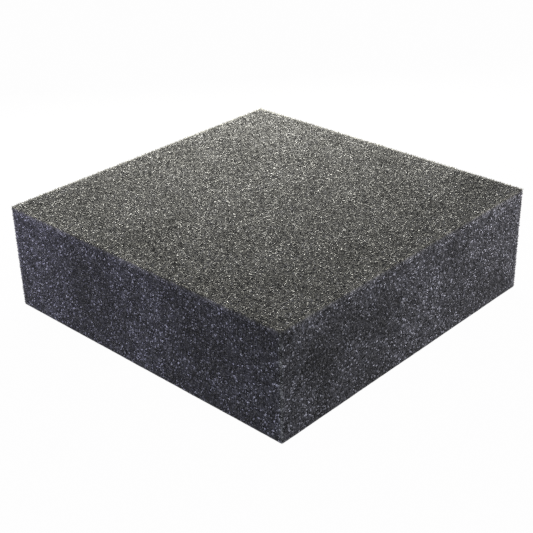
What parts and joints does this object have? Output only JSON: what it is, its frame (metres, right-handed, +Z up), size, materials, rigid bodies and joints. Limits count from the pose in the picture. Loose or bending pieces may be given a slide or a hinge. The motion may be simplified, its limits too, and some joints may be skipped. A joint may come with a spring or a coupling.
{
  "type": "foam block",
  "caption": "Square block of soft charcoal open-cell foam with flat faces and lightly eased cut edges, used as a bench pad, packing or pinning block.",
  "frame": {"origin": "centre of the bottom face, on the surface that the block rests on", "axes": "+Z up through the thickness of the slab, X and Y along the two pairs of cut sides"},
  "size_m": [0.1, 0.1, 0.031],
  "materials": {
    "foam": "matte charcoal open-cell foam, fine pores with small bright glints from the cell walls"
  },
  "bodies": {
    "root": {"foam_block": "foam"}
  },
  "joints": []
}
